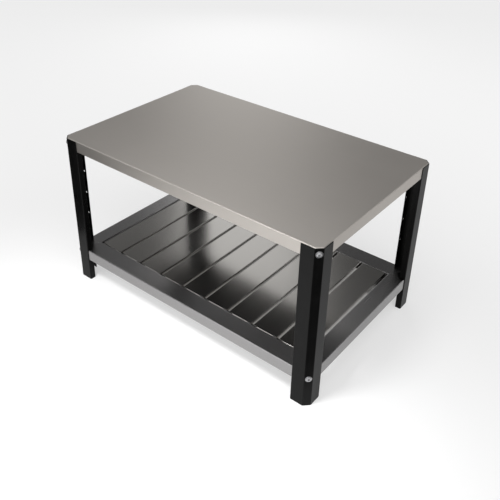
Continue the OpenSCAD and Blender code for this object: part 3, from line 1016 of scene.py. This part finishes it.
def bolt_head():
    """Button head with a flange and a hexagon socket. The head stands on z = 0."""
    dome_r = ((HEAD_DOME / 2) ** 2 + HEAD_DOME_H ** 2) / (2 * HEAD_DOME_H)
    head_top, rim = HEAD_FLANGE_T + HEAD_DOME_H, HEAD_FLANGE / 2
    opening, facets = math.asin(HEAD_DOME / 2 / dome_r), 8
    profile = [(0.0, head_top)]
    for i in range(1, facets + 1):
        angle = opening * i / facets
        profile.append((dome_r * math.sin(angle), head_top - dome_r * (1 - math.cos(angle))))
    profile += [
        (HEAD_DOME / 2 + DOME_FILLET, HEAD_FLANGE_T),
        (rim - FLANGE_ROUND, HEAD_FLANGE_T - 0.2 * FLANGE_ROUND),
        (rim - 0.2 * FLANGE_ROUND, HEAD_FLANGE_T - 0.8 * FLANGE_ROUND),
        (rim, HEAD_FLANGE_T / 2), (rim, 0.0), (0.0, 0.0),
    ]
    head = new_object("head", turned_mesh(profile, 40))
    combine(head, hexagon(SOCKET_AF, head_top - SOCKET_DEPTH, head_top + OVERLAP), "DIFFERENCE")
    return soften(finish_with(head, BOLT_ZINC), HEAD_EDGE)


def weld_nut():
    """Hexagon nut with chamfered corners. It lies below z = 0, with its bore round the thread."""
    nut = new_object("nut", hexagon(NUT_AF, -NUT_HEIGHT, 0.0))
    bore = prism(BOLT_THREAD / 2 + THREAD_GAP, -NUT_HEIGHT - OVERLAP, OVERLAP, 40)
    combine(nut, bore, "DIFFERENCE")
    outside = NUT_AF / 2 / math.cos(math.pi / 6) + 2 * OVERLAP
    chamfer = turned_mesh([
        (0.0, OVERLAP), (outside, OVERLAP), (outside, NUT_CHAMFER - NUT_HEIGHT),
        (NUT_AF / 2 - NUT_CHAMFER_IN, -NUT_HEIGHT), (0.0, -NUT_HEIGHT),
    ], 48)
    combine(nut, chamfer, "INTERSECT")
    return soften(finish_with(nut, BOLT_ZINC), NUT_EDGE)


def point_mesh(frames):
    """A point at each frame's origin, with the direction that its part faces, which is the frame's Z."""
    mesh = bpy.data.meshes.new("points")
    mesh.from_pydata([tuple(place.translation) for place in frames], [], [])
    facing = mesh.attributes.new("facing", "FLOAT_VECTOR", "POINT")
    for i, place in enumerate(frames):
        facing.data[i].vector = (place.to_3x3() @ Vector((0, 0, 1))).normalized()
    return mesh


def placing_tree(name, material):
    """Puts a part, and a second one if there is one, on each point. They face out, turned at random."""
    tree, given, output = group_tree(name, [
        ("Part", "NodeSocketObject"), ("Second part", "NodeSocketObject"),
        ("Largest turn", "NodeSocketFloat"), ("Turn seed", "NodeSocketInt"),
    ])
    size = given.outputs
    whole = add_node(tree, "GeometryNodeJoinGeometry")
    for part in ("Part", "Second part"):
        body = add_node(tree, "GeometryNodeObjectInfo", {"Object": size[part]}).outputs["Geometry"]
        tree.links.new(body, whole.inputs[0])
    facing = add_node(
        tree, "GeometryNodeInputNamedAttribute", {"Name": "facing"}, data_type="FLOAT_VECTOR"
    ).outputs["Attribute"]
    outward = add_node(
        tree, "FunctionNodeAlignRotationToVector", {"Vector": facing}, axis="Z", pivot_axis="AUTO"
    ).outputs[0]
    turn = add_node(tree, "FunctionNodeRandomValue", {
        "Max_001": size["Largest turn"], "Seed": size["Turn seed"],
    }, data_type="FLOAT")
    spin = add_node(
        tree, "FunctionNodeAxisAngleToRotation",
        {"Axis": (0.0, 0.0, 1.0), "Angle": socket_named(turn.outputs, "Value_001")},
    ).outputs[0]
    turned = add_node(
        tree, "FunctionNodeRotateRotation", {"Rotation": outward, "Rotate By": spin}, rotation_space="LOCAL"
    ).outputs[0]
    placed = add_node(tree, "GeometryNodeInstanceOnPoints", {
        "Points": size["Geometry"], "Instance": whole.outputs[0], "Rotation": turned,
    }).outputs[0]
    finish_tree(tree, output, placed, material)
    return tree


def make_fasteners():
    tree = placing_tree("corner fasteners", BOLT_ZINC)
    head, shank, nut = bolt_head(), new_object("shank", shank_mesh()), weld_nut()
    for tray, height, behind in (
        ("top", TOP_BOLT_Z, TRAY_INSET + TOP_SHEET), ("shelf", SHELF_BOLT_Z, TRAY_INSET)
    ):
        faces = [corner_matrix(i) @ face_matrix(height) for i in range(4)]
        bolts = new_object(f"flanged_bolts_{tray}", point_mesh(faces))
        run_tree(bolts, tree, {
            "Part": head, "Second part": shank, "Largest turn": math.pi / 3, "Turn seed": 4,
        })
        hand_over(bolts, "bolt_zinc", f"bolts_{tray}")
        inner = [corner_matrix(i) @ face_matrix(height, behind + BRACKET_SHEET) for i in range(4)]
        nuts = new_object(f"weld_nuts_{tray}", point_mesh(inner))
        run_tree(nuts, tree, {"Part": nut, "Largest turn": 0.0, "Turn seed": 4})
        hand_over(nuts, "bolt_zinc", f"nuts_{tray}")
    for part in (head, shank, nut):
        bpy.data.objects.remove(part)


# Welds

def spot_mark_mesh():
    """The shallow ring that a spot welder's electrode leaves. It stands on z = 0."""
    r, h = SPOT_WIDTH / 2, SPOT_RISE
    return shade_smooth(turned_mesh([
        (0.0, 0.2 * h), (0.5 * r, 0.25 * h), (0.72 * r, 0.9 * h), (0.84 * r, h), (0.95 * r, 0.5 * h),
        (r, -h), (0.0, -h),
    ], 20))


def ripple_mesh():
    """One ripple of a weld bead that runs along Z."""
    built = bmesh.new()
    bmesh.ops.create_icosphere(built, subdivisions=2, radius=BEAD_WIDTH / 2)
    bmesh.ops.scale(built, vec=(1.0, 1.0, 0.6), verts=built.verts)
    return shade_smooth(finished_mesh(built, "ripple"))


def place_welds(name, mark, frames):
    """Puts the same mark on each frame, and makes them one piece."""
    tree = bpy.data.node_groups.get("weld marks") or placing_tree("weld marks", WELD_STEEL)
    part, welds = new_object("mark", mark), new_object(name, point_mesh(frames))
    run_tree(welds, tree, {"Part": part, "Largest turn": 2 * math.pi, "Turn seed": 7})
    bpy.data.objects.remove(part)
    hand_over(welds, "inner_steel")


# Floor, light and camera

def background_share(tree, in_metal):
    """1 where the camera or glass looks at the background, in_metal where metal mirrors it."""
    path = add_node(tree, "ShaderNodeLightPath").outputs
    straight = maths(tree, "MAXIMUM", path["Is Camera Ray"], path["Is Transmission Ray"])
    in_mirror = maths(tree, "MULTIPLY", path["Is Glossy Ray"], in_metal)
    return maths(tree, "MAXIMUM", straight, in_mirror)


def lay_floor():
    """White floor that keeps the stand's shadow. The camera and the steel see it half way to
    pure white, and it throws no more light on the stand for that."""
    side = 20.0
    corners = [(-side, -side, 0), (side, -side, 0), (side, side, 0), (-side, side, 0)]
    mesh = bpy.data.meshes.new("floor")
    mesh.from_pydata(corners, [], [(0, 1, 2, 3)])
    floor = new_object("floor", mesh)
    material = new_material("floor_white")
    tree = material.node_tree
    lit = add_node(tree, "ShaderNodeBsdfDiffuse", {"Color": (0.95, 0.95, 0.95, 1)}).outputs[0]
    white = add_node(tree, "ShaderNodeEmission", {"Color": (1, 1, 1, 1), "Strength": 1.0}).outputs[0]
    share = maths(tree, "MULTIPLY", background_share(tree, 1.0), 0.5)
    surface(material, add_node(tree, "ShaderNodeMixShader", {0: share, 1: lit, 2: white}).outputs[0])
    mesh.materials.append(material)


def stand_card(name, left, right, front, back, top):
    """A black card out of the picture, lying down and folded up to top along its front edge.
    Only reflections see it, so it throws no shadow."""
    lying = 0.002
    mesh = bpy.data.meshes.new(name)
    mesh.from_pydata([
        (left, back, lying), (right, back, lying), (right, front, lying), (left, front, lying),
        (right, front, top), (left, front, top),
    ], [], [(0, 1, 2, 3), (3, 2, 4, 5)])
    card = new_object(name, mesh)
    card.visible_camera = card.visible_diffuse = card.visible_shadow = False
    material = new_material("card_black")
    black = add_node(material.node_tree, "ShaderNodeBsdfDiffuse", {"Color": (0.02, 0.02, 0.02, 1)})
    surface(material, black.outputs[0])
    mesh.materials.append(material)


def stand_cards():
    """The left card gives the front skirt its dark left end, and the right one the front right leg
    its dark corner face."""
    stand_card("card_left", left=-2.4, right=-0.70, front=-1.5, back=-0.40, top=0.9)
    stand_card("card_right", left=0.56, right=2.0, front=-1.4, back=-0.35, top=0.1)


def soft_sky(lobes):
    """World with soft bright parts. Each has its turn to the left of straight back, its rise,
    how far it reaches and how wide its soft edge is, in degrees, and its strength. The camera
    sees the world white."""
    world = bpy.data.worlds.new("studio")
    bpy.context.scene.world = world
    world.use_nodes = True
    tree = world.node_tree
    way = add_node(tree, "ShaderNodeTexCoord").outputs["Generated"]
    total = 0.0
    for turn, rise, reach, edge, strength in lobes:
        flat = direction(math.radians(turn) + QUARTER) * math.cos(math.radians(rise))
        middle = (flat.x, flat.y, math.sin(math.radians(rise)))
        nearness = add_node(
            tree, "ShaderNodeVectorMath", {0: way, 1: middle}, operation="DOT_PRODUCT"
        ).outputs["Value"]
        lobe = add_node(tree, "ShaderNodeMapRange", {
            "Value": nearness, "From Min": math.cos(math.radians(reach + edge)),
            "From Max": math.cos(math.radians(reach - edge)), "To Max": strength,
        }, interpolation_type="SMOOTHSTEP").outputs["Result"]
        total = maths(tree, "ADD", lobe, total)
    sky = tree.nodes["Background"]
    sky.inputs["Color"].default_value = (1, 1, 1, 1)
    seen = maths(tree, "MAXIMUM", total, background_share(tree, 0.06))
    tree.links.new(seen, sky.inputs["Strength"])


def soft_box(name, place, aim, width, height, power, spread=180):
    light = bpy.data.lights.new(name, "AREA")
    light.shape = "RECTANGLE"
    light.size, light.size_y = width, height
    light.energy = power
    light.spread = math.radians(spread)
    made = bpy.data.objects.new(name, light)
    made.location = place
    made.rotation_euler = (Vector(aim) - Vector(place)).to_track_quat("-Z", "Y").to_euler()
    made.visible_camera = False
    bpy.context.scene.collection.objects.link(made)


def light_studio():
    """A broad sky from the front and two small soft parts at the back left, then four soft boxes."""
    soft_sky([(-160, 40, 72, 22, 1.08), (38, 27, 24, 10, 0.13), (60, 16, 15, 9, 0.28)])
    soft_box("back left", (-1.84, 2.38, 1.6), (0, 0, 0.3), width=1.1, height=2.0, power=8.5)
    soft_box("back right", (1.8, 2.4, 1.6), (0, 0, 0.3), width=1.5, height=1.2, power=8)
    soft_box("front left", (-1.1, -2.3, 1.6), (0.1, -0.5, 0.2), width=1.0, height=1.2, power=5)
    soft_box("front", (0.0, -1.3, 2.2), (0.15, -1.0, 0.0), width=0.5, height=0.5, power=10, spread=60)
    bpy.context.scene.view_settings.view_transform = "Standard"


def place_camera():
    """Looks down on the stand's front right corner, as in the photograph."""
    place = Vector((1.20067, -1.51292, 1.51738))
    yaw, pitch, roll = -0.6586, -0.5106, 0.0236
    focal_px, middle_y_px, frame_px = 678.34, 179.96, 500
    ahead = Vector((math.sin(yaw) * math.cos(pitch), math.cos(yaw) * math.cos(pitch), math.sin(pitch)))
    level = ahead.cross(Vector((0, 0, 1))).normalized()
    upright = level.cross(ahead)
    right = math.cos(roll) * level + math.sin(roll) * upright
    up = -math.sin(roll) * level + math.cos(roll) * upright
    data = bpy.data.cameras.new("camera")
    data.sensor_width = 36
    data.lens = focal_px / frame_px * data.sensor_width
    data.shift_y = (middle_y_px - frame_px / 2) / frame_px
    camera = bpy.data.objects.new("camera", data)
    camera.matrix_world = Matrix((
        (right.x, up.x, -ahead.x, place.x), (right.y, up.y, -ahead.y, place.y),
        (right.z, up.z, -ahead.z, place.z), (0, 0, 0, 1),
    ))
    bpy.context.scene.collection.objects.link(camera)
    bpy.context.scene.camera = camera


place_camera()
make_work_top()
make_stiffeners()
make_brackets()
make_legs()
make_rails()
make_slats()
make_fasteners()
lay_floor()
stand_cards()
light_studio()
